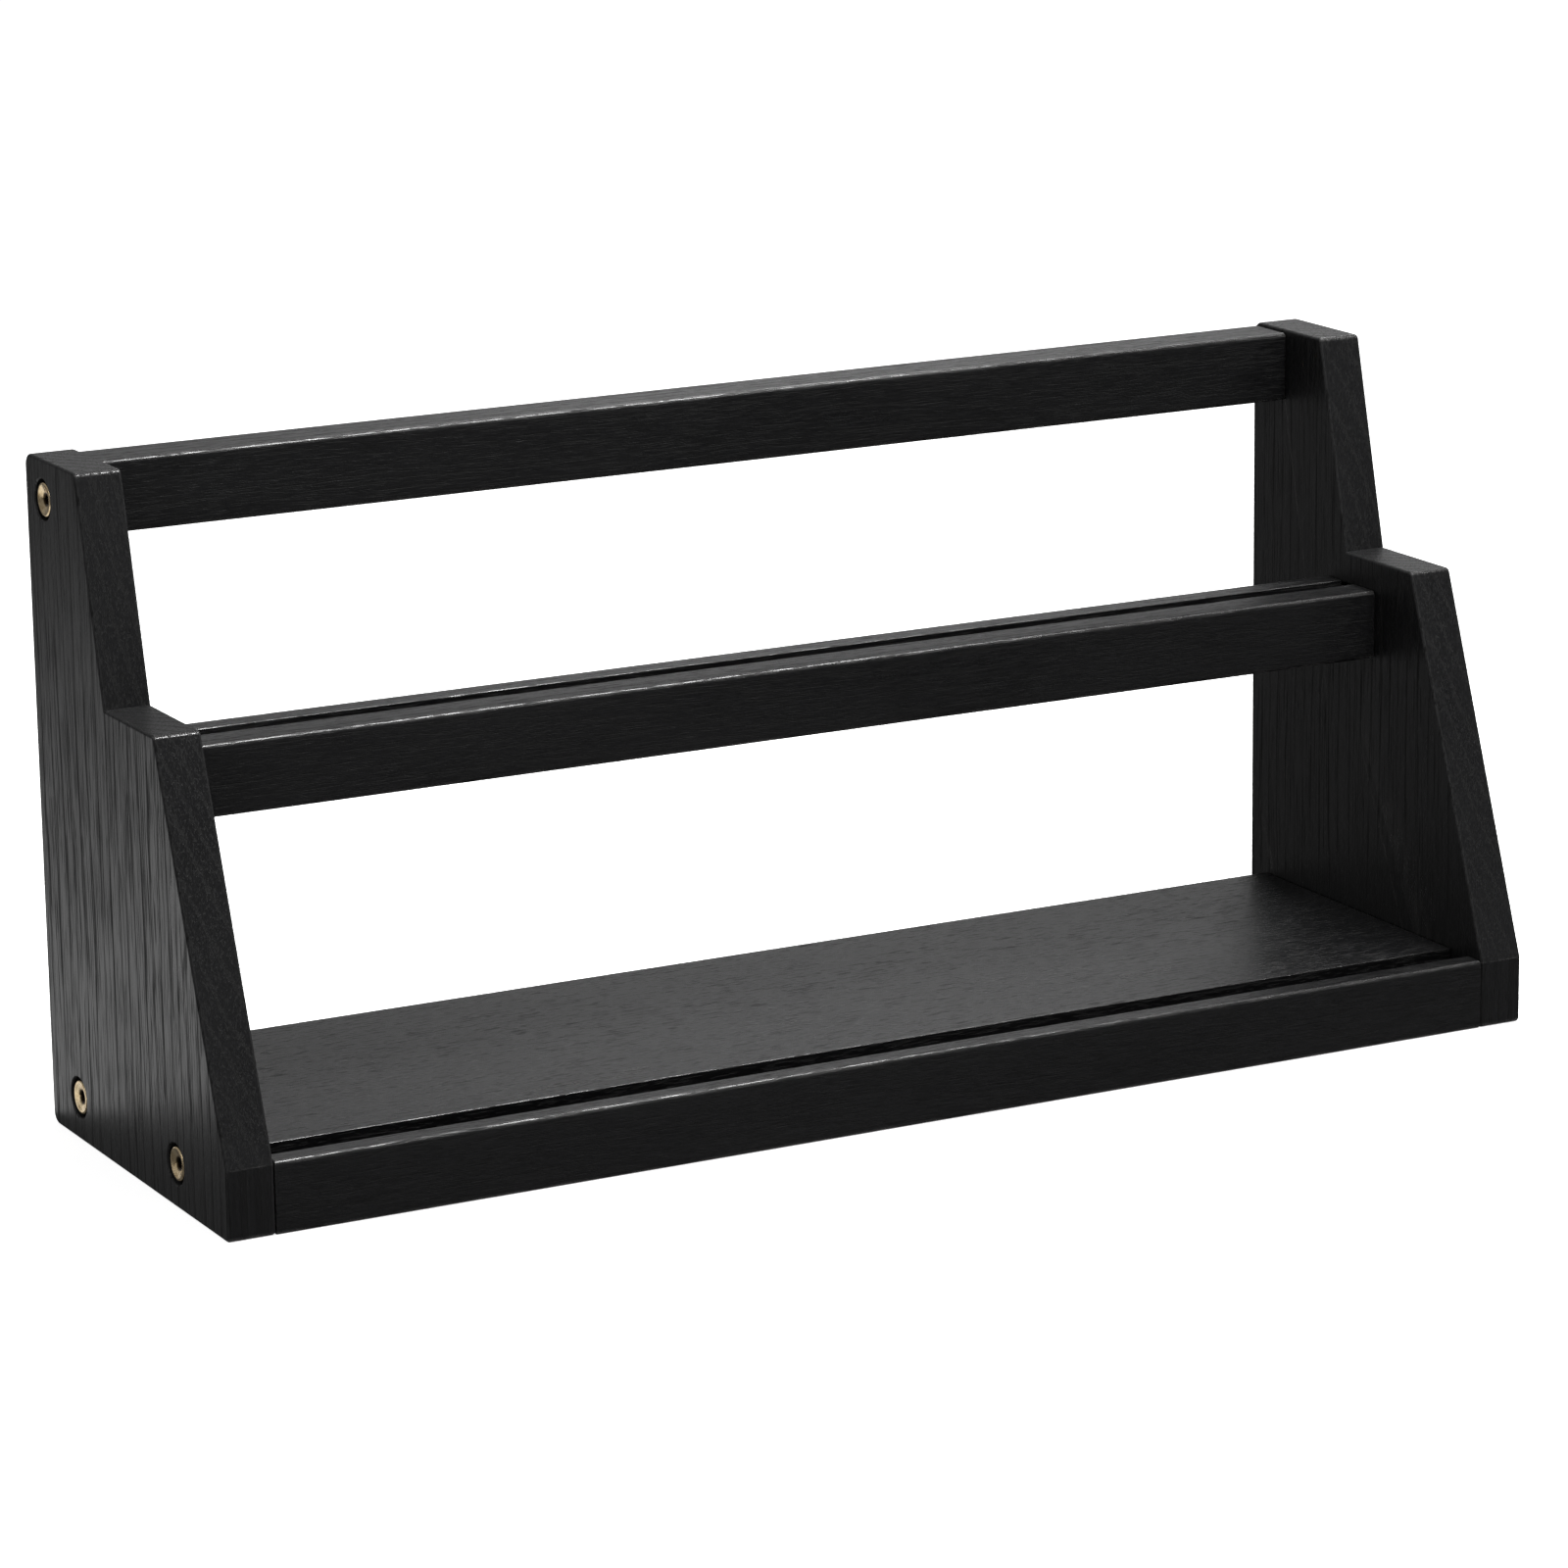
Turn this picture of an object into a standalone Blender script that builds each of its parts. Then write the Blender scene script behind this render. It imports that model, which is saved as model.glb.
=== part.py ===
"""Desk hutch: a two-step desktop rack in black-stained wood, held by brass connector bolts.

Frame: +X along the length to the right, +Y to the back, +Z up, in metres.
The origin is on the resting surface, at the middle of the length and of the depth.
Distances called "from_back" are measured forwards from the plane of the panels' back edges.
"""
import math

import bmesh
import bpy

# Driving dimensions
LENGTH = 0.600
DEPTH = 0.185
HEIGHT = 0.280
PANEL_THICKNESS = 0.020
RAIL_HEIGHT = 0.030
GAP = 0.0003

# Side panel outline, from_back and height
TOP_DEPTH = 0.054
NOTCH_FROM_BACK = 0.076
STEP_FROM_BACK = 0.127
STEP_HEIGHT = 0.189
BREAK_HEIGHT = 0.029
BACK_CORNER_RADIUS = 0.005
FRONT_CORNER_RADIUS = 0.002
EDGE_ROUNDING = 0.001

# Rails and shelf, each given by its back face and its thickness from back to front
UPPER_RAIL_BACK = 0.002
UPPER_RAIL_THICKNESS = 0.025
UPPER_RAIL_DROP = 0.0015
MIDDLE_RAIL_BACK = 0.061
MIDDLE_RAIL_THICKNESS = 0.039
MIDDLE_RAIL_DROP = 0.013
FRONT_RAIL_THICKNESS = 0.011
SHELF_BACK = 0.012
SHELF_THICKNESS = 0.024

# Card groove in the middle rail, and the tray groove between the shelf and the front rail
CARD_GROOVE_BACK_STRIP = 0.0125
CARD_GROOVE_WIDTH = 0.0095
CARD_GROOVE_DEPTH = 0.010
TRAY_GROOVE_WIDTH = 0.0125
TRAY_GROOVE_DEPTH = 0.012

# Connector bolts and the threaded inserts that they screw into, along X from the outer face
BOLT_HEAD_RADIUS = 0.007
BOLT_HEAD_THICKNESS = 0.0032
BOLT_SHANK_RADIUS = 0.003
BOLT_END = 0.0415
BOLT_TIP_CHAMFER = 0.0006
SOCKET_ACROSS_FLATS = 0.004
SOCKET_DEPTH = 0.0024
DISH_RADIUS = 0.0052
DISH_DEPTH = 0.0004
COUNTERBORE_RADIUS = 0.0085
COUNTERBORE_DEPTH = 0.004
INSERT_RADIUS = 0.005
INSERT_LENGTH = 0.022
BOLT_BORE_RADIUS = BOLT_SHANK_RADIUS + GAP
INSERT_HOLE_END = 0.044

# Wooden dowels
RAIL_DOWEL_RADIUS = 0.004
THIN_DOWEL_RADIUS = 0.003
DOWEL_LENGTH = 0.030
DOWEL_IN_PANEL = 0.0115
DOWEL_CHAMFER = 0.0008
DOWEL_END_ROOM = 0.0007
LIP_DOWEL_LENGTH = 0.024
LIP_DOWEL_IN_RAIL = 0.008
LIP_DOWEL_SPACING = 0.200

# Facets round each kind of turned piece
BOLT_SIDES = 24
DOWEL_SIDES = 16
ARC_STEPS = 4

# Values that follow from the driving dimensions
BACK_Y = DEPTH / 2
INNER_X = LENGTH / 2 - PANEL_THICKNESS
RAIL_END_X = INNER_X - GAP
UPPER_RAIL_TOP = HEIGHT - UPPER_RAIL_DROP
UPPER_RAIL_BOTTOM = UPPER_RAIL_TOP - RAIL_HEIGHT
MIDDLE_RAIL_TOP = STEP_HEIGHT - MIDDLE_RAIL_DROP
MIDDLE_RAIL_BOTTOM = MIDDLE_RAIL_TOP - RAIL_HEIGHT
MIDDLE_RAIL_FRONT = MIDDLE_RAIL_BACK + MIDDLE_RAIL_THICKNESS
SHELF_TOP = RAIL_HEIGHT
SHELF_BOTTOM = SHELF_TOP - SHELF_THICKNESS
FRONT_RAIL_BACK = DEPTH - FRONT_RAIL_THICKNESS
SHELF_FRONT = FRONT_RAIL_BACK - GAP
TRAY_GROOVE_BACK = FRONT_RAIL_BACK - TRAY_GROOVE_WIDTH
TONGUE_TOP = SHELF_TOP - TRAY_GROOVE_DEPTH
CARD_GROOVE_BACK = MIDDLE_RAIL_BACK + CARD_GROOVE_BACK_STRIP
CARD_GROOVE_FLOOR = MIDDLE_RAIL_TOP - CARD_GROOVE_DEPTH

# Places of the fixings on a side panel: name, from_back, height
UPPER_BOLT_FROM_BACK = 0.018
LOWER_BOLTS_FROM_BACK = (0.030, 0.133)
UPPER_DOWEL_EDGE = 0.008
UPPER_DOWEL_FOOT = 0.0055
MIDDLE_DOWEL_EDGE = 0.010
SHELF_MIDDLE = (SHELF_BOTTOM + SHELF_TOP) / 2
MIDDLE_DOWEL_HEIGHT = (MIDDLE_RAIL_BOTTOM + CARD_GROOVE_FLOOR) / 2
BOLT_PLACES = (
    ("upper", UPPER_BOLT_FROM_BACK, UPPER_RAIL_BOTTOM + RAIL_HEIGHT / 2),
    ("lower_back", LOWER_BOLTS_FROM_BACK[0], SHELF_MIDDLE),
    ("lower_front", LOWER_BOLTS_FROM_BACK[1], SHELF_MIDDLE),
)
DOWEL_PLACES = (
    ("upper_rail", UPPER_RAIL_BACK + UPPER_DOWEL_EDGE, UPPER_RAIL_BOTTOM + UPPER_DOWEL_FOOT,
     THIN_DOWEL_RADIUS),
    ("middle_rail_back", MIDDLE_RAIL_BACK + MIDDLE_DOWEL_EDGE, MIDDLE_DOWEL_HEIGHT, RAIL_DOWEL_RADIUS),
    ("middle_rail_front", MIDDLE_RAIL_FRONT - MIDDLE_DOWEL_EDGE, MIDDLE_DOWEL_HEIGHT, RAIL_DOWEL_RADIUS),
    ("shelf", sum(LOWER_BOLTS_FROM_BACK) / 2, SHELF_MIDDLE, RAIL_DOWEL_RADIUS),
    ("front_rail", DEPTH - FRONT_RAIL_THICKNESS / 2, RAIL_HEIGHT / 2, THIN_DOWEL_RADIUS),
)
LIP_DOWEL_HEIGHT = (SHELF_BOTTOM + TONGUE_TOP) / 2

SIDES = (("left", -1), ("right", 1))


def clear_scene():
    for old in list(bpy.data.objects):
        bpy.data.objects.remove(old, do_unlink=True)


def make_material(name, colour, roughness, metallic=0.0):
    material = bpy.data.materials.new(name)
    material.use_nodes = True
    shader = material.node_tree.nodes["Principled BSDF"]
    shader.inputs["Base Color"].default_value = (*colour, 1.0)
    shader.inputs["Roughness"].default_value = roughness
    shader.inputs["Metallic"].default_value = metallic
    return material


def back_to_y(from_back):
    return BACK_Y - from_back


def add_object(name, bm, material, smooth_below=None):
    """Finish a bmesh as a named object; faces meeting at a smaller angle shade smooth."""
    bmesh.ops.recalc_face_normals(bm, faces=bm.faces)
    mesh = bpy.data.meshes.new(name)
    bm.to_mesh(mesh)
    bm.free()
    if smooth_below is not None:
        mesh.shade_smooth()
        mesh.set_sharp_from_angle(angle=smooth_below)
    if material:
        mesh.materials.append(material)
    obj = bpy.data.objects.new(name, mesh)
    bpy.context.collection.objects.link(obj)
    return obj


def rounded_outline(corners):
    """Turn corners (from_back, height, radius) into an outline with arcs at the round ones."""
    outline = []
    count = len(corners)
    for index, (across, up, radius) in enumerate(corners):
        if radius == 0:
            outline.append((across, up))
            continue
        before = corners[index - 1]
        after = corners[(index + 1) % count]
        arms = []
        for end in (before, after):
            arm = (end[0] - across, end[1] - up)
            size = math.hypot(*arm)
            arms.append((arm[0] / size, arm[1] / size))
        half_angle = math.acos(arms[0][0] * arms[1][0] + arms[0][1] * arms[1][1]) / 2
        reach = radius / math.tan(half_angle)
        middle = (arms[0][0] + arms[1][0], arms[0][1] + arms[1][1])
        scale = radius / math.sin(half_angle) / math.hypot(*middle)
        centre = (across + middle[0] * scale, up + middle[1] * scale)
        start = math.atan2(up + arms[0][1] * reach - centre[1], across + arms[0][0] * reach - centre[0])
        stop = math.atan2(up + arms[1][1] * reach - centre[1], across + arms[1][0] * reach - centre[0])
        turn = (stop - start + math.pi) % (2 * math.pi) - math.pi
        for step in range(ARC_STEPS + 1):
            angle = start + turn * step / ARC_STEPS
            outline.append((centre[0] + radius * math.cos(angle), centre[1] + radius * math.sin(angle)))
    return outline


def extrude_outline(name, outline, x_start, x_end, material):
    """Extrude an outline of (from_back, height) points along X."""
    bm = bmesh.new()
    corners = [bm.verts.new((x_start, back_to_y(across), up)) for across, up in outline]
    face = bm.faces.new(corners)
    extruded = bmesh.ops.extrude_face_region(bm, geom=[face])["geom"]
    moved = [item for item in extruded if isinstance(item, bmesh.types.BMVert)]
    bmesh.ops.translate(bm, verts=moved, vec=(x_end - x_start, 0, 0))
    return add_object(name, bm, material)


def soften_edges(obj):
    bevel = obj.modifiers.new("soft_edges", "BEVEL")
    bevel.width = EDGE_ROUNDING
    bevel.segments = 2
    bevel.limit_method = "ANGLE"
    bevel.angle_limit = math.radians(30)


def loft_rings(name, rings, sides, place, material, closed_loop=False):
    """Join rings of (distance along the axis, radius or radius function) into one solid."""
    bm = bmesh.new()
    loops = []
    for along, radius in rings:
        loop = []
        for side in range(sides):
            angle = 2 * math.pi * side / sides
            size = radius(angle) if callable(radius) else radius
            loop.append(bm.verts.new(place(along, size * math.cos(angle), size * math.sin(angle))))
        loops.append(loop)
    pairs = list(zip(loops, loops[1:]))
    if closed_loop:
        pairs.append((loops[-1], loops[0]))
    else:
        bm.faces.new(loops[0])
        bm.faces.new(loops[-1])
    for first, second in pairs:
        for side in range(sides):
            after = (side + 1) % sides
            bm.faces.new((first[side], first[after], second[after], second[side]))
    return add_object(name, bm, material, smooth_below=math.radians(35))


def along_x(side, from_back, height):
    """Place points on an axis along X that starts at a panel's outer face and runs inwards."""
    def place(along, across, up):
        return (side * (LENGTH / 2 - along), back_to_y(from_back) + across, height + up)
    return place


def along_y(x, height):
    """Place points on an axis along Y, measured forwards from the panels' back edges."""
    def place(from_back, across, up):
        return (x + across, back_to_y(from_back), height + up)
    return place


def cut_hole(target, name, start, end, radius, sides, place):
    """Cut a round hole between two distances along its axis."""
    cutter = loft_rings(name, [(start, radius), (end, radius)], sides, place, None)
    cutter.hide_render = True
    cutter.display_type = "WIRE"
    cut = target.modifiers.new(name, "BOOLEAN")
    cut.operation = "DIFFERENCE"
    cut.solver = "EXACT"
    cut.object = cutter


def hexagon_radius(angle):
    """Radius of the hexagonal socket at an angle round its axis."""
    sixth = math.pi / 3
    return SOCKET_ACROSS_FLATS / 2 / math.cos(angle % sixth - sixth / 2)


def make_side_panel(side_name, side, material):
    outline = rounded_outline((
        (0, 0, BACK_CORNER_RADIUS),
        (0, HEIGHT, BACK_CORNER_RADIUS),
        (TOP_DEPTH, HEIGHT, 0),
        (NOTCH_FROM_BACK, STEP_HEIGHT, 0),
        (STEP_FROM_BACK, STEP_HEIGHT, 0),
        (DEPTH, BREAK_HEIGHT, 0),
        (DEPTH, 0, FRONT_CORNER_RADIUS),
    ))
    panel = extrude_outline(f"side_panel_{side_name}", outline, side * LENGTH / 2, side * INNER_X, material)
    soften_edges(panel)
    return panel


def make_rail(name, back, thickness, bottom, top, material):
    front = back + thickness
    outline = ((back, bottom), (back, top), (front, top), (front, bottom))
    rail = extrude_outline(name, outline, -RAIL_END_X, RAIL_END_X, material)
    soften_edges(rail)
    return rail


def make_middle_rail(material):
    groove_front = CARD_GROOVE_BACK + CARD_GROOVE_WIDTH
    outline = (
        (MIDDLE_RAIL_BACK, MIDDLE_RAIL_BOTTOM), (MIDDLE_RAIL_BACK, MIDDLE_RAIL_TOP),
        (CARD_GROOVE_BACK, MIDDLE_RAIL_TOP), (CARD_GROOVE_BACK, CARD_GROOVE_FLOOR),
        (groove_front, CARD_GROOVE_FLOOR), (groove_front, MIDDLE_RAIL_TOP),
        (MIDDLE_RAIL_FRONT, MIDDLE_RAIL_TOP), (MIDDLE_RAIL_FRONT, MIDDLE_RAIL_BOTTOM),
    )
    rail = extrude_outline("middle_rail", outline, -RAIL_END_X, RAIL_END_X, material)
    soften_edges(rail)
    return rail


def make_shelf(material):
    outline = (
        (SHELF_BACK, SHELF_BOTTOM), (SHELF_BACK, SHELF_TOP),
        (TRAY_GROOVE_BACK, SHELF_TOP), (TRAY_GROOVE_BACK, TONGUE_TOP),
        (SHELF_FRONT, TONGUE_TOP), (SHELF_FRONT, SHELF_BOTTOM),
    )
    shelf = extrude_outline("shelf_board", outline, -RAIL_END_X, RAIL_END_X, material)
    soften_edges(shelf)
    return shelf


def make_bolt(name, place, material):
    head_back = COUNTERBORE_DEPTH - GAP
    face = head_back - BOLT_HEAD_THICKNESS
    rings = (
        (face + SOCKET_DEPTH, hexagon_radius),
        (face + DISH_DEPTH, hexagon_radius),
        (face, DISH_RADIUS),
        (face, BOLT_HEAD_RADIUS * 0.90),
        (face + BOLT_HEAD_THICKNESS * 0.15, BOLT_HEAD_RADIUS * 0.98),
        (face + BOLT_HEAD_THICKNESS * 0.35, BOLT_HEAD_RADIUS),
        (head_back, BOLT_HEAD_RADIUS),
        (head_back, BOLT_SHANK_RADIUS),
        (BOLT_END - BOLT_TIP_CHAMFER, BOLT_SHANK_RADIUS),
        (BOLT_END, BOLT_SHANK_RADIUS - BOLT_TIP_CHAMFER),
    )
    loft_rings(name, rings, BOLT_SIDES, place, material)


def make_insert(name, place, material):
    start = PANEL_THICKNESS + 2 * GAP
    end = start + INSERT_LENGTH
    rings = (
        (start, BOLT_BORE_RADIUS), (start, INSERT_RADIUS),
        (end, INSERT_RADIUS), (end, BOLT_BORE_RADIUS),
    )
    loft_rings(name, rings, BOLT_SIDES, place, material, closed_loop=True)


def make_dowel(name, start, length, radius, place, material):
    end = start + length
    tip = radius - DOWEL_CHAMFER
    rings = (
        (start, tip), (start + DOWEL_CHAMFER, radius),
        (end - DOWEL_CHAMFER, radius), (end, tip),
    )
    loft_rings(name, rings, DOWEL_SIDES, place, material)


def fit_bolts(side_name, side, panel, held, brass, steel):
    """Bore a panel and the pieces it holds, and put in each bolt with its insert."""
    for (label, from_back, height), piece in zip(BOLT_PLACES, held):
        place = along_x(side, from_back, height)
        tag = f"{label}_{side_name}"
        cut_hole(panel, f"cut_head_{tag}", -GAP, COUNTERBORE_DEPTH, COUNTERBORE_RADIUS, BOLT_SIDES, place)
        cut_hole(panel, f"cut_shank_{tag}", GAP, PANEL_THICKNESS + GAP, BOLT_BORE_RADIUS, BOLT_SIDES, place)
        cut_hole(piece, f"cut_insert_{tag}", PANEL_THICKNESS, INSERT_HOLE_END,
                 INSERT_RADIUS + GAP, BOLT_SIDES, place)
        make_bolt(f"connector_bolt_{tag}", place, brass)
        make_insert(f"threaded_insert_{tag}", place, steel)


def fit_dowels(side_name, side, panel, held, wood):
    """Bore blind holes across each joint and put in the dowels."""
    start = PANEL_THICKNESS - DOWEL_IN_PANEL
    end = start + DOWEL_LENGTH
    for (label, from_back, height, radius), piece in zip(DOWEL_PLACES, held):
        place = along_x(side, from_back, height)
        tag = f"{label}_{side_name}"
        cut_hole(panel, f"cut_panel_dowel_{tag}", start - DOWEL_END_ROOM, PANEL_THICKNESS + GAP,
                 radius + GAP, DOWEL_SIDES, place)
        cut_hole(piece, f"cut_rail_dowel_{tag}", PANEL_THICKNESS, end + DOWEL_END_ROOM,
                 radius + GAP, DOWEL_SIDES, place)
        make_dowel(f"dowel_{tag}", start, DOWEL_LENGTH, radius, place, wood)


def fit_lip_dowels(shelf, front_rail, wood):
    """Dowel the front rail to the shelf's tongue at three places along the length."""
    end = FRONT_RAIL_BACK + LIP_DOWEL_IN_RAIL
    start = end - LIP_DOWEL_LENGTH
    radius = THIN_DOWEL_RADIUS
    for label, steps in (("left", -1), ("centre", 0), ("right", 1)):
        place = along_y(steps * LIP_DOWEL_SPACING, LIP_DOWEL_HEIGHT)
        cut_hole(shelf, f"cut_lip_shelf_{label}", start - DOWEL_END_ROOM, FRONT_RAIL_BACK,
                 radius + GAP, DOWEL_SIDES, place)
        cut_hole(front_rail, f"cut_lip_rail_{label}", SHELF_FRONT, end + DOWEL_END_ROOM,
                 radius + GAP, DOWEL_SIDES, place)
        make_dowel(f"dowel_shelf_lip_{label}", start, LIP_DOWEL_LENGTH, radius, place, wood)


def main():
    clear_scene()
    black_wood = make_material("black_stained_wood", (0.030, 0.030, 0.031), 0.48)
    brass = make_material("antique_brass", (0.52, 0.40, 0.21), 0.32, metallic=1.0)
    steel = make_material("zinc_plated_steel", (0.60, 0.60, 0.58), 0.35, metallic=1.0)
    beech = make_material("beech_dowel", (0.62, 0.45, 0.28), 0.70)

    upper_rail = make_rail("upper_rail", UPPER_RAIL_BACK, UPPER_RAIL_THICKNESS,
                           UPPER_RAIL_BOTTOM, UPPER_RAIL_TOP, black_wood)
    middle_rail = make_middle_rail(black_wood)
    front_rail = make_rail("front_rail", FRONT_RAIL_BACK, FRONT_RAIL_THICKNESS, 0, RAIL_HEIGHT, black_wood)
    shelf = make_shelf(black_wood)
    fit_lip_dowels(shelf, front_rail, beech)

    for side_name, side in SIDES:
        panel = make_side_panel(side_name, side, black_wood)
        fit_bolts(side_name, side, panel, (upper_rail, shelf, shelf), brass, steel)
        fit_dowels(side_name, side, panel,
                   (upper_rail, middle_rail, middle_rail, shelf, front_rail), beech)


main()
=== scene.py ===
"""Visual model of the desk hutch: a two-step desktop rack in black-stained, open-grained wood.

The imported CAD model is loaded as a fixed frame. Each wooden piece is rebuilt here with fine rounded
and slightly worn arrises, and each brass bolt with a dished, turned head. The hidden inserts and
dowels keep their CAD meshes and get better materials. +X runs along the length to the right, +Y to
the back and +Z up, in metres.
"""
import math

import bmesh
import bpy
from mathutils import Matrix, Vector, noise


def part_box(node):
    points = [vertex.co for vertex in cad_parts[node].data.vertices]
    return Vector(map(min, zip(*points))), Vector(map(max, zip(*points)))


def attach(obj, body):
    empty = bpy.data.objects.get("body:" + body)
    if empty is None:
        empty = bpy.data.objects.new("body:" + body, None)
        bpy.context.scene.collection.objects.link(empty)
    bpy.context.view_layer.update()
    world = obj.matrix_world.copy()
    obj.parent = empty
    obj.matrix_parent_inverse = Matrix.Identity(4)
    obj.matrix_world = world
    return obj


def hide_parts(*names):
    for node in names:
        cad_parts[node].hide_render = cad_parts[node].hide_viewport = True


# Side panel outline, measured forwards from the back edge and upwards, as in the CAD model
TOP_DEPTH = 0.054
NOTCH_FROM_BACK = 0.076
STEP_FROM_BACK = 0.127
STEP_HEIGHT = 0.189
BREAK_HEIGHT = 0.029
BACK_CORNER_RADIUS = 0.005

# Grooves, as in the CAD model
CARD_GROOVE_BACK_STRIP = 0.0125
CARD_GROOVE_WIDTH = 0.0095
CARD_GROOVE_DEPTH = 0.010
TRAY_GROOVE_WIDTH = 0.0125
TRAY_GROOVE_DEPTH = 0.012

# Rounding of the wood, and how deep its arrises are worn
ARRIS_RADIUS = 0.0018
CORNER_RADIUS = 0.0022
PANEL_EDGE_RADIUS = 0.0012
GROOVE_LIP_RADIUS = 0.0004
END_RADIUS = 0.0006
WEAR_DEPTH = 0.00012

# Bolts and the bores for the fixings, as in the CAD model
GAP = 0.0003
HEAD_RADIUS = 0.007
HEAD_THICKNESS = 0.0032
SHANK_RADIUS = 0.003
COUNTERBORE_RADIUS = 0.0085
COUNTERBORE_DEPTH = 0.004
SOCKET_ACROSS_FLATS = 0.004
SHANK_CHAMFER = 0.0006
INSERT_RADIUS = 0.005
INSERT_HOLE_END = 0.044
DOWEL_END_ROOM = 0.0007

# Finer shape of a bolt and its counterbore. The dish is (depth, radius) from the socket outwards
COUNTERBORE_CHAMFER = 0.0005
SOCKET_DEPTH = 0.0026
SOCKET_RIM_DEPTH = 0.0016
HEAD_DISH = ((0.0009, 0.0032), (0.00075, 0.0036), (0.00045, 0.0046), (0.00015, 0.0055), (0.0, 0.0058))
HEAD_EDGE_RADIUS = 0.0007

# Fineness of the meshes
ARC_STEPS = 6
ROUND_SIDES = 72
POINT_SPACING = 0.0024
SHARP_ANGLE = 35.0

# Black wood: its growth rings, the length of a wave of a wave texture at scale 1, its linear colours,
# and how strongly the rings and how large the open pores show on each kind of piece
RING_SPACING = 0.0060
WAVE_LENGTH = 0.314
DEEP_STAIN = (0.0016, 0.0016, 0.0018, 1.0)
THIN_STAIN = (0.0034, 0.0034, 0.0037, 1.0)
FIBRE_STREAK = (0.0070, 0.0070, 0.0074, 1.0)
EARLY_WOOD = (0.0012, 0.0012, 0.0012, 1.0)
PORE = (0.0004, 0.0004, 0.0004, 1.0)
# Colour of rubbed arrises: partly real wear, partly a painted highlight
WORN_ARRIS_AND_HIGHLIGHT = (0.045, 0.043, 0.042, 1.0)
PANEL_GRAIN = {"figure": 0.70, "pore_length": 0.060, "pore_width": 0.0008}
RAIL_GRAIN = {"figure": 0.35, "pore_length": 0.018, "pore_width": 0.0007}
SHELF_GRAIN = {"figure": 0.10, "pore_length": 0.012, "pore_width": 0.0011}

# Turned metal
TOOL_MARK_PITCH = 0.00022
# Inside this radius a turned head is painted dark, as shade in its socket and the middle of its dish
SOCKET_SHADE_RADIUS = 0.0033
SOCKET_PAINTED_SHADE = (0.030, 0.018, 0.008, 1.0)

# Camera: its place in metres, its angles in degrees and its focal length in millimetres
CAMERA_PLACE = (-1.1307, -2.1409, 0.7306)
CAMERA_AZIMUTH = 27.69
CAMERA_PITCH = -14.06
CAMERA_ROLL = -0.79
CAMERA_LENS = 137.8

SIDES = (("left", -1), ("right", 1))
BOLT_LABELS = ("upper", "lower_back", "lower_front")
DOWEL_LABELS = ("upper_rail", "middle_rail_back", "middle_rail_front", "shelf", "front_rail")
LIP_LABELS = ("left", "centre", "right")


# ---------------------------------------------------------------- materials

class Nodes:
    """A short way to fill an emptied node tree."""

    def __init__(self, tree):
        self.tree = tree
        tree.nodes.clear()

    def add(self, kind, inputs=None, **settings):
        node = self.tree.nodes.new(kind)
        for key, value in settings.items():
            setattr(node, key, value)
        for key, value in (inputs or {}).items():
            self.put(value, node.inputs[key])
        return node

    def put(self, value, socket):
        """Link a node's output to a socket, or set the socket to a constant."""
        if isinstance(value, bpy.types.NodeSocket):
            self.tree.links.new(value, socket)
        else:
            socket.default_value = value

    def math(self, operation, first, second=0.0, clamp=False):
        node = self.add("ShaderNodeMath", {0: first, 1: second}, operation=operation, use_clamp=clamp)
        return node.outputs[0]

    def vector_math(self, operation, first, second):
        return self.add("ShaderNodeVectorMath", {0: first, 1: second}, operation=operation)

    def spread(self, value, low, high, to_low=0.0, to_high=1.0, smooth=False):
        """Map a range of values to another, clamped."""
        kind = "SMOOTHSTEP" if smooth else "LINEAR"
        inputs = {0: value, 1: low, 2: high, 3: to_low, 4: to_high}
        return self.add("ShaderNodeMapRange", inputs, interpolation_type=kind).outputs[0]

    def mix(self, factor, first, second, kind="RGBA"):
        node = self.add("ShaderNodeMix", data_type=kind)
        self.put(factor, node.inputs["Factor"])
        self.put(first, node.inputs["A"])
        self.put(second, node.inputs["B"])
        return node.outputs["Result"]

    def noise(self, where, scale, detail=3.0, roughness=0.5, output="Fac"):
        inputs = {"Vector": where, "Scale": scale, "Detail": detail, "Roughness": roughness}
        return self.add("ShaderNodeTexNoise", inputs).outputs[output]

    def stretched(self, where, scales, offset=(0.0, 0.0, 0.0)):
        """Scale coordinates, so that noise of scale 1 there has these many features per metre."""
        inputs = {"Vector": where, "Scale": scales, "Location": offset}
        return self.add("ShaderNodeMapping", inputs).outputs[0]

    def attribute(self, name):
        return self.add("ShaderNodeAttribute", attribute_name=name).outputs["Fac"]


class Shading(Nodes):
    """The nodes of a new material round one principled shader."""

    def __init__(self, name):
        self.material = bpy.data.materials.new(name)
        self.material.use_nodes = True
        super().__init__(self.material.node_tree)
        self.shader = self.add("ShaderNodeBsdfPrincipled")
        self.add("ShaderNodeOutputMaterial", {"Surface": self.shader.outputs[0]})
        self.coords = self.add("ShaderNodeTexCoord").outputs["Object"]

    def surface(self, colour, roughness, relief, strength, distance):
        """Give the shader its colour, its roughness and a bump from the relief."""
        bump = self.add("ShaderNodeBump", {"Strength": strength, "Distance": distance, "Height": relief})
        self.put(colour, self.shader.inputs["Base Color"])
        self.put(roughness, self.shader.inputs["Roughness"])
        self.put(bump.outputs[0], self.shader.inputs["Normal"])


def grey(value):
    return (value, value, value, 1.0)


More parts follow.
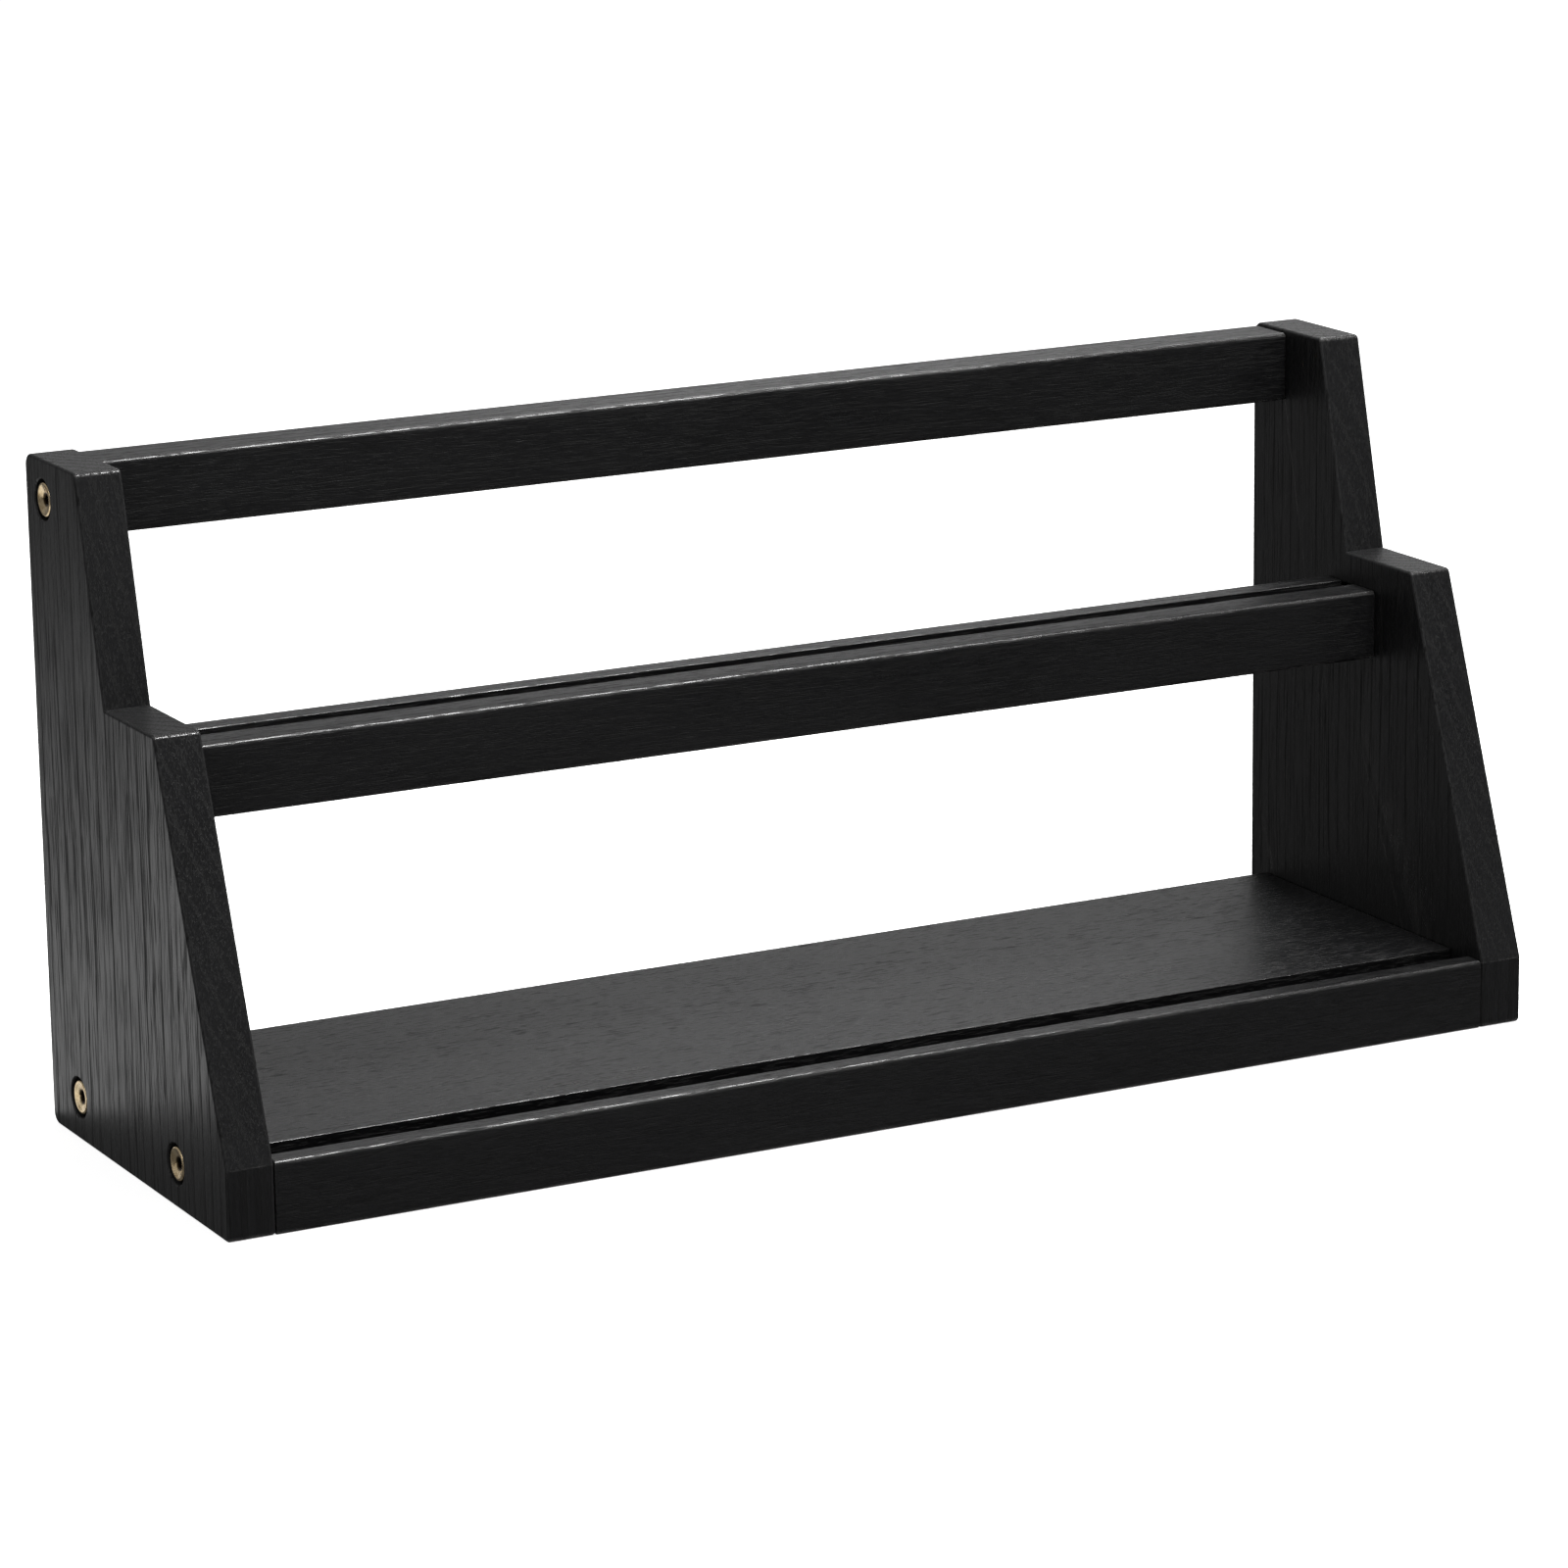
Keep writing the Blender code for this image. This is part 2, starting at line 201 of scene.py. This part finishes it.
def make_black_wood(name, axis, pith, figure, pore_length, pore_width):
    """Black-stained open-grained wood.

    axis is the one that the fibres follow, "X" or "Z". pith shifts the tree's heart away from the
    board, which sets how the growth rings meet its faces, and figure is how strongly they show. The
    length and width are those of the open pores, along the fibres and across them.
    """
    sh = Shading(name)

    # Turn the coordinates so that X follows the fibres
    turn = (0.0, math.pi / 2, 0.0) if axis == "Z" else (0.0, 0.0, 0.0)
    board = sh.add("ShaderNodeMapping", {"Vector": sh.coords, "Rotation": turn}).outputs[0]

    # Fibres wander a little from straight
    slow = sh.noise(sh.stretched(board, (5.0, 16.0, 16.0)), 1.0, detail=2.0, output="Color")
    centred = sh.vector_math("SUBTRACT", slow, (0.5, 0.5, 0.5)).outputs[0]
    wander = sh.vector_math("MULTIPLY", centred, (0.0, 0.008, 0.008)).outputs[0]
    fibre = sh.vector_math("ADD", board, wander).outputs[0]

    # Growth rings round a slightly tilted pith, which make streaks and faint cathedral arches
    ring_space = sh.stretched(fibre, (0.06, 1.0, 1.0), pith)
    rings = sh.add("ShaderNodeTexWave", {"Vector": ring_space, "Scale": WAVE_LENGTH / RING_SPACING,
                                         "Distortion": 5.0, "Detail": 3.0, "Detail Scale": 0.4},
                   wave_type="RINGS", rings_direction="X", wave_profile="SAW").outputs["Fac"]
    ring_edge = sh.math("MULTIPLY", sh.spread(rings, 0.70, 0.92, smooth=True),
                        sh.spread(rings, 0.99, 0.96))
    early = sh.math("MULTIPLY", ring_edge, figure)

    # Open pores: dark slits along the fibres, crowded in the early wood
    along = 1 / pore_length
    across = 1 / pore_width
    long_pores = sh.noise(sh.stretched(fibre, (along, across, across)), 1.0, detail=2.0, roughness=0.6)
    short_pores = sh.noise(sh.stretched(fibre, (2.5 * along, 1.5 * across, 1.5 * across), (3.0, 1.0, 7.0)),
                           1.0, detail=1.0)
    crowding = sh.math("MULTIPLY", early, 0.11)
    long_mask = sh.spread(sh.math("ADD", long_pores, crowding), 0.56, 0.65)
    short_mask = sh.spread(sh.math("ADD", short_pores, crowding), 0.58, 0.67)
    pores = sh.math("MAXIMUM", long_mask, sh.math("MULTIPLY", short_mask, 0.75))

    # Fine fibres, slow clouds of stain, and arrises rubbed bare in places, whose lighter colour is partly
    # real wear and partly a painted highlight
    fibres = sh.noise(sh.stretched(fibre, (1.2 * along, 2.0 * across, 2.0 * across)), 1.0, detail=4.0,
                      roughness=0.7)
    clouds = sh.noise(sh.stretched(board, (6.0, 22.0, 22.0), (1.0, 4.0, 2.0)), 1.0, detail=3.0)
    rubbed = sh.noise(sh.stretched(board, (70.0, 260.0, 260.0)), 1.0, detail=3.0)
    wear_and_highlight = sh.math("MULTIPLY", sh.attribute("arris"), sh.spread(rubbed, 0.34, 0.60))

    stain = sh.mix(sh.spread(clouds, 0.3, 0.7), DEEP_STAIN, THIN_STAIN)
    streaked = sh.mix(sh.spread(fibres, 0.40, 0.75), stain, FIBRE_STREAK)
    banded = sh.mix(sh.math("MULTIPLY", early, 0.5), streaked, EARLY_WOOD)
    pored = sh.mix(sh.math("MULTIPLY", pores, 0.9), banded, PORE)
    # Rubbed arrises are lightened, partly as wear and partly as a painted highlight
    colour = sh.mix(sh.math("MULTIPLY", wear_and_highlight, 0.35), pored, WORN_ARRIS_AND_HIGHLIGHT)

    # Early wood, pores and the end arrises are duller than the rest, and rubbed arrises are glossier
    finish = sh.spread(clouds, 0.3, 0.7, 0.27, 0.34)
    with_bands = sh.math("ADD", finish, sh.math("MULTIPLY", early, 0.16))
    with_pores = sh.math("ADD", with_bands, sh.math("MULTIPLY", pores, 0.45))
    with_ends = sh.math("ADD", with_pores, sh.math("MULTIPLY", sh.attribute("dull"), 0.50))
    roughness = sh.math("SUBTRACT", with_ends, sh.math("MULTIPLY", wear_and_highlight, 0.10), clamp=True)

    relief = sh.math("SUBTRACT", sh.math("MULTIPLY", fibres, 0.5), pores)
    sh.surface(colour, roughness, relief, strength=0.8, distance=0.09 * pore_width)
    sh.shader.inputs["IOR"].default_value = 1.45
    sh.shader.inputs["Specular IOR Level"].default_value = 0.40
    return sh.material


def make_metal(name, bright, dark, roughness, turned):
    """Satin metal with clouds of patina. A turned one has tool marks round its axis and painted shade in
    its socket.
    """
    sh = Shading(name)
    patina = sh.noise(sh.coords, 420.0, detail=4.0, roughness=0.6)
    specks = sh.noise(sh.coords, 2600.0, detail=2.0)
    colour = sh.mix(sh.spread(patina, 0.38, 0.72, smooth=True), bright, dark)
    relief = specks
    if turned:
        radius = sh.attribute("turned")
        # Painted shade: darker inside the socket and the middle of the dish, where shade falls in the
        # recess
        socket_shade = sh.spread(radius, SOCKET_SHADE_RADIUS, 0.8 * SOCKET_SHADE_RADIUS)
        colour = sh.mix(socket_shade, colour, SOCKET_PAINTED_SHADE)
        marks = sh.math("SINE", sh.math("MULTIPLY", radius, 2 * math.pi / TOOL_MARK_PITCH))
        relief = sh.math("ADD", sh.math("MULTIPLY", marks, 0.4), specks)
    rough = sh.spread(specks, 0.3, 0.7, roughness - 0.05, roughness + 0.07)
    sh.surface(colour, rough, relief, strength=0.25, distance=0.00004)
    sh.shader.inputs["Metallic"].default_value = 1.0
    return sh.material


def make_beech():
    """Pale beech with short darker flecks, for the dowels."""
    sh = Shading("beech")
    fibres = sh.noise(sh.stretched(sh.coords, (60.0, 900.0, 900.0)), 1.0, detail=4.0, roughness=0.6)
    flecks = sh.spread(sh.noise(sh.stretched(sh.coords, (300.0, 1500.0, 1500.0)), 1.0), 0.60, 0.70)
    plain = sh.mix(fibres, (0.66, 0.47, 0.29, 1.0), (0.50, 0.33, 0.19, 1.0))
    colour = sh.mix(sh.math("MULTIPLY", flecks, 0.5), plain, (0.33, 0.19, 0.10, 1.0))
    roughness = sh.spread(fibres, 0.3, 0.7, 0.60, 0.75)
    sh.surface(colour, roughness, fibres, strength=0.3, distance=0.0001)
    return sh.material


# ---------------------------------------------------------------- mesh helpers

def new_object(name, bm):
    """Turn a bmesh into an object of the scene."""
    mesh = bpy.data.meshes.new(name)
    bm.to_mesh(mesh)
    bm.free()
    obj = bpy.data.objects.new(name, mesh)
    bpy.context.collection.objects.link(obj)
    return obj


def new_piece(name, bm, material, node):
    """Turn a bmesh into a shaded piece that rides on the body, and hide the CAD node that it replaces."""
    bmesh.ops.recalc_face_normals(bm, faces=bm.faces)
    piece = new_object(name, bm)
    piece.data.shade_smooth()
    piece.data.set_sharp_from_angle(angle=math.radians(SHARP_ANGLE))
    piece.data.materials.append(material)
    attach(piece, "root")
    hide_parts(node)
    return piece


def corner_points(before, corner, after):
    """Points (place, normal, arris) of one corner of an outline, which is (y, z, radius).

    The normal points out of the solid. At a hollow corner it is lengthened, so that moving every point
    by the same share of its normal keeps the sides parallel. arris rises to 1 in the middle of a
    rounded corner.
    """
    here = Vector(corner[:2])
    radius = corner[2]
    to_before = (Vector(before[:2]) - here).normalized()
    to_after = (Vector(after[:2]) - here).normalized()
    normal_in = Vector((-to_before.y, to_before.x))
    normal_out = Vector((to_after.y, -to_after.x))
    middle = (normal_in + normal_out).normalized()
    if radius == 0:
        return [(here, middle / middle.dot(normal_in), 0.0)]
    half = to_before.angle(to_after) / 2
    centre = here - middle * (radius / math.sin(half))
    turn = normal_in.angle(normal_out)
    points = []
    for step in range(ARC_STEPS + 1):
        share = step / ARC_STEPS
        angle = turn * share
        normal = Vector((normal_in.x * math.cos(angle) - normal_in.y * math.sin(angle),
                         normal_in.x * math.sin(angle) + normal_in.y * math.cos(angle)))
        points.append((centre + normal * radius, normal, math.sin(math.pi * share)))
    return points


def outline_points(corners):
    """Turn corners (y, z, radius), in counterclockwise order, into closely spaced outline points.

    Each point is (y, z, normal y, normal z, arris), as corner_points gives them.
    """
    points = []
    for index, corner in enumerate(corners):
        points += corner_points(corners[index - 1], corner, corners[(index + 1) % len(corners)])
    spaced = []
    for index, (place, normal, arris) in enumerate(points):
        after = points[(index + 1) % len(points)][0]
        spaced.append((place.x, place.y, normal.x, normal.y, arris))
        parts = math.ceil((after - place).length / POINT_SPACING)
        side = (after - place).normalized()
        for part in range(1, parts):
            between = place.lerp(after, part / parts)
            spaced.append((between.x, between.y, side.y, -side.x, 0.0))
    return spaced


def wear_at(x, y, z, axis):
    """How far an arris is rubbed down at a place, as a share of WEAR_DEPTH.

    Slow noise gives long patches, and fast noise the nicks in them.
    """
    along, across, up = (x, y, z) if axis == "X" else (z, x, y)
    slow = noise.noise(Vector((along * 22.0, across * 60.0, up * 60.0)))
    fast = noise.noise(Vector((along * 110.0, across * 400.0, up * 400.0)))
    return max(0.0, 0.45 + 0.6 * slow + 0.45 * fast)


def join_loops(bm, loops):
    """Join loops of as many vertices each into a closed surface with flat ends."""
    for first, second in zip(loops, loops[1:]):
        for index in range(len(first)):
            after = (index + 1) % len(first)
            bm.faces.new((first[index], first[after], second[after], second[index]))
    bm.faces.new(loops[0])
    bm.faces.new(loops[-1])


def stations(low, high, radius):
    """Places along X as (x, inset, dull): an arc of the radius at both ends, and even steps between.

    The inset is how far the outline is drawn in there, and dull is 1 on the arc's middle.
    """
    arc = []
    for step in range(ARC_STEPS + 1):
        angle = math.pi / 2 * step / ARC_STEPS
        arc.append((radius * (1 - math.cos(angle)), radius * (1 - math.sin(angle)), math.sin(2 * angle)))
    places = [(low + along, inset, dull) for along, inset, dull in arc]
    middle = high - low - 2 * radius
    steps = math.ceil(middle / POINT_SPACING)
    for step in range(1, steps):
        places.append((low + radius + middle * step / steps, 0.0, 0.0))
    places += [(high - along, inset, dull) for along, inset, dull in reversed(arc)]
    return places


def extrude_rounded(corners, low, high, radius, axis):
    """Extrude an outline along X from low to high, with ends rounded to the radius.

    The outline's own arrises are worn, less and less round the ends, and the end arrises are dull.
    """
    outline = outline_points(corners)
    bm = bmesh.new()
    arris_layer = bm.verts.layers.float.new("arris")
    dull_layer = bm.verts.layers.float.new("dull")
    loops = []
    for x, inset, dull in stations(low, high, radius):
        worn = 1 - inset / radius
        loop = []
        for y, z, normal_y, normal_z, arris in outline:
            inner_y = y - normal_y * inset
            inner_z = z - normal_z * inset
            rubbed = arris * worn * WEAR_DEPTH * wear_at(x, inner_y, inner_z, axis)
            vert = bm.verts.new((x, inner_y - normal_y * rubbed, inner_z - normal_z * rubbed))
            vert[arris_layer] = arris * worn
            vert[dull_layer] = dull
            loop.append(vert)
        loops.append(loop)
    join_loops(bm, loops)
    return bm


def lathe(bm, rings, place, layer=None):
    """Add a solid of revolution to a bmesh, from rings of (distance along the axis, radius).

    A radius may be a function of the angle. place turns (along, across, up) into a point, and the layer
    keeps each vertex's radius.
    """
    loops = []
    for along, radius in rings:
        loop = []
        for side in range(ROUND_SIDES):
            angle = 2 * math.pi * side / ROUND_SIDES
            size = radius(angle) if callable(radius) else radius
            vert = bm.verts.new(place(along, size * math.cos(angle), size * math.sin(angle)))
            if layer is not None:
                vert[layer] = size
            loop.append(vert)
        loops.append(loop)
    join_loops(bm, loops)


def axis_from_panel(side, middle, panel_face):
    """Place points round an axis along X that starts at a panel's outer face and runs inwards."""
    def place(along, across, up):
        return (side * (panel_face - along), middle.y + across, middle.z + up)
    return place


def axis_to_back(middle):
    """Place points round an axis along Y."""
    def place(along, across, up):
        return (middle.x + across, along, middle.z + up)
    return place


def box_middle(node):
    low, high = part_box(node)
    return (low + high) / 2


# ---------------------------------------------------------------- bores for the fixings

def add_bolt_bore(bm, node, side, panel_face, panel_thickness):
    """A cutter for a bolt's head and shank and for the insert behind it."""
    mouth = COUNTERBORE_RADIUS + COUNTERBORE_CHAMFER
    rings = [
        (-COUNTERBORE_CHAMFER, mouth + COUNTERBORE_CHAMFER),
        (COUNTERBORE_CHAMFER, COUNTERBORE_RADIUS),
        (COUNTERBORE_DEPTH, COUNTERBORE_RADIUS),
        (COUNTERBORE_DEPTH, SHANK_RADIUS + GAP),
        (panel_thickness, SHANK_RADIUS + GAP),
        (panel_thickness, INSERT_RADIUS + GAP),
        (INSERT_HOLE_END, INSERT_RADIUS + GAP),
    ]
    lathe(bm, rings, axis_from_panel(side, box_middle(node), panel_face))


def add_dowel_bore(bm, start, length, diameter, place):
    """A cutter for a dowel, with a little room at its ends and round it."""
    radius = diameter / 2 + GAP
    lathe(bm, [(start - DOWEL_END_ROOM, radius), (start + length + DOWEL_END_ROOM, radius)], place)


def make_bores(panel_face, panel_thickness):
    """One object that holds the cutters for every bolt, insert and dowel."""
    bm = bmesh.new()
    for side_name, side in SIDES:
        for label in BOLT_LABELS:
            add_bolt_bore(bm, f"connector_bolt_{label}_{side_name}", side, panel_face, panel_thickness)
        for label in DOWEL_LABELS:
            node = f"dowel_{label}_{side_name}"
            low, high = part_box(node)
            nearest = panel_face - max(abs(low.x), abs(high.x))
            place = axis_from_panel(side, box_middle(node), panel_face)
            add_dowel_bore(bm, nearest, high.x - low.x, high.z - low.z, place)
    for label in LIP_LABELS:
        node = f"dowel_shelf_lip_{label}"
        low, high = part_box(node)
        add_dowel_bore(bm, low.y, high.y - low.y, high.z - low.z, axis_to_back(box_middle(node)))
    bmesh.ops.recalc_face_normals(bm, faces=bm.faces)
    return new_object("bores", bm)


def cut_bores(piece, bores):
    """Cut the bores into a wooden piece, and keep its flat faces evenly shaded round them."""
    cut = piece.modifiers.new("bores", "BOOLEAN")
    cut.operation = "DIFFERENCE"
    cut.solver = "EXACT"
    cut.object = bores
    weighted = piece.modifiers.new("flat_faces_stay_flat", "WEIGHTED_NORMAL")
    weighted.keep_sharp = True
    weighted.weight = 100
    graph = bpy.context.evaluated_depsgraph_get()
    result = bpy.data.meshes.new_from_object(piece.evaluated_get(graph))
    before = piece.data
    piece.modifiers.clear()
    piece.data = result
    bpy.data.meshes.remove(before)


# ---------------------------------------------------------------- wooden pieces

def make_panel(side_name, material, bores):
    """A stepped side panel, with its back corners rounded and its front ones only eased."""
    node = f"side_panel_{side_name}"
    low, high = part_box(node)
    back = high.y
    corners = (
        (back, low.z, BACK_CORNER_RADIUS),
        (back, high.z, BACK_CORNER_RADIUS),
        (back - TOP_DEPTH, high.z, CORNER_RADIUS),
        (back - NOTCH_FROM_BACK, STEP_HEIGHT, 0.0),
        (back - STEP_FROM_BACK, STEP_HEIGHT, CORNER_RADIUS),
        (low.y, BREAK_HEIGHT, CORNER_RADIUS),
        (low.y, low.z, CORNER_RADIUS),
    )
    bm = extrude_rounded(corners, low.x, high.x, PANEL_EDGE_RADIUS, "Z")
    panel = new_piece(f"panel_{side_name}", bm, material, node)
    cut_bores(panel, bores)


def make_board(node, corners, material, bores):
    """A rail or the shelf, which runs from panel to panel."""
    low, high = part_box(node)
    bm = extrude_rounded(corners, low.x, high.x, END_RADIUS, "X")
    board = new_piece(f"{node}_wood", bm, material, node)
    cut_bores(board, bores)


def plain_corners(node):
    low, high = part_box(node)
    radius = ARRIS_RADIUS
    return (
        (low.y, low.z, radius), (high.y, low.z, radius),
        (high.y, high.z, radius), (low.y, high.z, radius),
    )


def middle_rail_corners():
    """The middle rail's section, with the card groove in its top."""
    low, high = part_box("middle_rail")
    radius = ARRIS_RADIUS
    lip = GROOVE_LIP_RADIUS
    groove_back = high.y - CARD_GROOVE_BACK_STRIP
    groove_front = groove_back - CARD_GROOVE_WIDTH
    floor = high.z - CARD_GROOVE_DEPTH
    return (
        (low.y, low.z, radius), (high.y, low.z, radius), (high.y, high.z, radius),
        (groove_back, high.z, lip), (groove_back, floor, 0.0),
        (groove_front, floor, 0.0), (groove_front, high.z, lip),
        (low.y, high.z, radius),
    )


def shelf_corners():
    """The shelf's section, with the step that forms the tray groove behind the front rail."""
    low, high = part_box("shelf_board")
    radius = ARRIS_RADIUS
    groove_back = low.y - GAP + TRAY_GROOVE_WIDTH
    tongue_top = high.z - TRAY_GROOVE_DEPTH
    return (
        (low.y, low.z, radius), (high.y, low.z, radius), (high.y, high.z, radius),
        (groove_back, high.z, GROOVE_LIP_RADIUS), (groove_back, tongue_top, 0.0),
        (low.y, tongue_top, radius),
    )


# ---------------------------------------------------------------- bolts

def hexagon_radius(angle):
    """Radius of the hexagonal socket at an angle round its axis."""
    sixth = math.pi / 3
    return SOCKET_ACROSS_FLATS / 2 / math.cos(angle % sixth - sixth / 2)


def make_bolt(label, side_name, side, panel_face, material):
    """A connector bolt with a rounded edge, a dished face and a hexagonal socket."""
    node = f"connector_bolt_{label}_{side_name}"
    low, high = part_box(node)
    face = panel_face - max(abs(low.x), abs(high.x))
    end = face + high.x - low.x
    head_back = face + HEAD_THICKNESS
    rings = [(face + SOCKET_DEPTH, hexagon_radius), (face + SOCKET_RIM_DEPTH, hexagon_radius)]
    rings += [(face + depth, radius) for depth, radius in HEAD_DISH]
    for step in range(ARC_STEPS + 1):
        angle = math.pi / 2 * step / ARC_STEPS
        rings.append((face + HEAD_EDGE_RADIUS * (1 - math.cos(angle)),
                      HEAD_RADIUS - HEAD_EDGE_RADIUS * (1 - math.sin(angle))))
    rings += [
        (head_back, HEAD_RADIUS),
        (head_back, SHANK_RADIUS),
        (end - SHANK_CHAMFER, SHANK_RADIUS),
        (end, SHANK_RADIUS - SHANK_CHAMFER),
    ]
    bm = bmesh.new()
    layer = bm.verts.layers.float.new("turned")
    lathe(bm, rings, axis_from_panel(side, box_middle(node), panel_face), layer)
    new_piece(f"bolt_{label}_{side_name}", bm, material, node)


# ---------------------------------------------------------------- studio

def make_sheet(name, size, turn, centre, paint):
    """A flat level sheet that isn't part of the object. paint gives the values of its shader's inputs."""
    bm = bmesh.new()
    bmesh.ops.create_grid(bm, x_segments=1, y_segments=1, size=0.5)
    bmesh.ops.scale(bm, verts=bm.verts, vec=(*size, 1.0))
    bmesh.ops.rotate(bm, verts=bm.verts, matrix=Matrix.Rotation(math.radians(turn), 3, "Z"))
    bmesh.ops.translate(bm, verts=bm.verts, vec=centre)
    sheet = new_object(name, bm)
    sh = Shading(f"{name}_paint")
    for key, value in paint.items():
        sh.shader.inputs[key].default_value = value
    sheet.data.materials.append(sh.material)
    return sheet


def make_floor():
    """A wide pale floor. The reflections on the object come from the world, not from the floor."""
    paint = {"Base Color": grey(0.93), "Roughness": 0.9, "Specular IOR Level": 0.0,
             "Emission Color": grey(1.0), "Emission Strength": 0.70}
    floor = make_sheet("floor", (60.0, 60.0), 0.0, (0.0, 0.0, 0.0), paint)
    floor.visible_glossy = False


def make_reflector():
    """A white card on the floor behind and to the left, seen only in reflections."""
    paint = {"Base Color": grey(0.0), "Emission Color": grey(1.0), "Emission Strength": 0.88}
    card = make_sheet("reflector", (0.62, 0.92), 28.0, (-0.70, 0.41, 0.001), paint)
    card.visible_camera = False
    card.visible_diffuse = False
    card.visible_shadow = False


def make_world():
    """Soft light from all round, brightest behind and above the object and dimmest below it.

    The camera sees a plain backdrop instead.
    """
    world = bpy.data.worlds.new("studio")
    bpy.context.scene.world = world
    world.use_nodes = True
    sky = Nodes(world.node_tree)
    direction = sky.add("ShaderNodeTexCoord").outputs["Generated"]
    height = sky.add("ShaderNodeSeparateXYZ", {0: direction}).outputs["Z"]
    brightest = Vector((0.15, 0.90, 0.40)).normalized()
    facing = sky.vector_math("DOT_PRODUCT", direction, brightest).outputs["Value"]
    above = sky.spread(facing, -0.4, 0.95, 0.30, 0.50, smooth=True)
    strength = sky.mix(sky.spread(height, -0.28, 0.45), 0.14, above, kind="FLOAT")
    surround = sky.add("ShaderNodeBackground", {"Color": grey(0.8), "Strength": strength})
    backdrop = sky.add("ShaderNodeBackground", {"Color": grey(0.96), "Strength": 1.0})
    seen = sky.add("ShaderNodeLightPath").outputs["Is Camera Ray"]
    choose = sky.add("ShaderNodeMixShader", {0: seen, 1: surround.outputs[0], 2: backdrop.outputs[0]})
    sky.add("ShaderNodeOutputWorld", {"Surface": choose.outputs[0]})


def make_area_light(name, place, target, size, power):
    """A soft rectangular light at a place, facing a target. The camera doesn't see it."""
    light = bpy.data.lights.new(name, "AREA")
    light.shape = "RECTANGLE"
    light.size, light.size_y = size
    light.energy = power
    lamp = bpy.data.objects.new(name, light)
    lamp.location = place
    lamp.rotation_euler = (Vector(target) - Vector(place)).to_track_quat("-Z", "Y").to_euler()
    lamp.visible_camera = False
    bpy.context.collection.objects.link(lamp)


def make_camera():
    data = bpy.data.cameras.new("camera")
    data.lens = CAMERA_LENS
    data.clip_end = 100.0
    camera = bpy.data.objects.new("camera", data)
    turn = (Matrix.Rotation(-math.radians(CAMERA_AZIMUTH), 4, "Z")
            @ Matrix.Rotation(math.radians(90 + CAMERA_PITCH), 4, "X")
            @ Matrix.Rotation(math.radians(CAMERA_ROLL), 4, "Z"))
    camera.matrix_world = Matrix.Translation(CAMERA_PLACE) @ turn
    bpy.context.collection.objects.link(camera)
    bpy.context.scene.camera = camera


# ---------------------------------------------------------------- the scene

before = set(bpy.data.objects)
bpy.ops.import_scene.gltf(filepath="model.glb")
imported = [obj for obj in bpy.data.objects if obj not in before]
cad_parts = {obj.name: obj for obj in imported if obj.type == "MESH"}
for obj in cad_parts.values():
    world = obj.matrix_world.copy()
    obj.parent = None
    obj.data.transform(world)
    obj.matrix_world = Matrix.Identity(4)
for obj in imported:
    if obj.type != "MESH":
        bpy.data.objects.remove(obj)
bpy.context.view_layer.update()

# The studio. Each light has its place, its target, its size and its power in watts
make_camera()
make_floor()
make_world()
make_area_light("top_strip", (0.55, -0.42, 1.9), (0.0, 0.0, 0.1), (1.3, 0.14), 66.0)
make_area_light("back_softbox", (0.9, 1.2, 1.3), (0.0, 0.0, 0.1), (0.8, 0.4), 8.0)
make_area_light("left_key", (-1.3, -0.7, 1.1), (-0.1, 0.0, 0.12), (0.9, 0.7), 6.0)
make_reflector()
bpy.context.scene.view_settings.view_transform = "Standard"

panel_low, panel_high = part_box("side_panel_right")
panel_face = panel_high.x
panel_thickness = panel_high.x - panel_low.x

brass = make_metal("antique_brass", (0.80, 0.64, 0.40, 1.0), (0.46, 0.33, 0.17, 1.0), 0.20, turned=True)
zinc = make_metal("zinc_plate", (0.66, 0.66, 0.64, 1.0), (0.42, 0.43, 0.44, 1.0), 0.34, turned=False)
beech = make_beech()

bores = make_bores(panel_face, panel_thickness)
for side_name, side in SIDES:
    pith = (0.0, side * 0.31, 0.05)
    wood = make_black_wood(f"black_wood_panel_{side_name}", "Z", pith, **PANEL_GRAIN)
    make_panel(side_name, wood, bores)
    for label in BOLT_LABELS:
        make_bolt(label, side_name, side, panel_face, brass)

# Node, section, pith and grain of each piece between the panels
boards = (
    ("upper_rail", plain_corners("upper_rail"), (0.0, 0.02, -0.30), RAIL_GRAIN),
    ("middle_rail", middle_rail_corners(), (0.0, 0.05, -0.10), RAIL_GRAIN),
    ("front_rail", plain_corners("front_rail"), (0.0, 0.12, -0.04), RAIL_GRAIN),
    ("shelf_board", shelf_corners(), (0.0, 0.03, 0.06), SHELF_GRAIN),
)
for node, corners, pith, grain in boards:
    wood = make_black_wood(f"black_wood_{node}", "X", pith, **grain)
    make_board(node, corners, wood, bores)
bpy.data.objects.remove(bores, do_unlink=True)

for node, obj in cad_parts.items():
    if node.startswith("threaded_insert"):
        obj.material_slots[0].material = zinc
    elif node.startswith("dowel"):
        obj.material_slots[0].material = beech
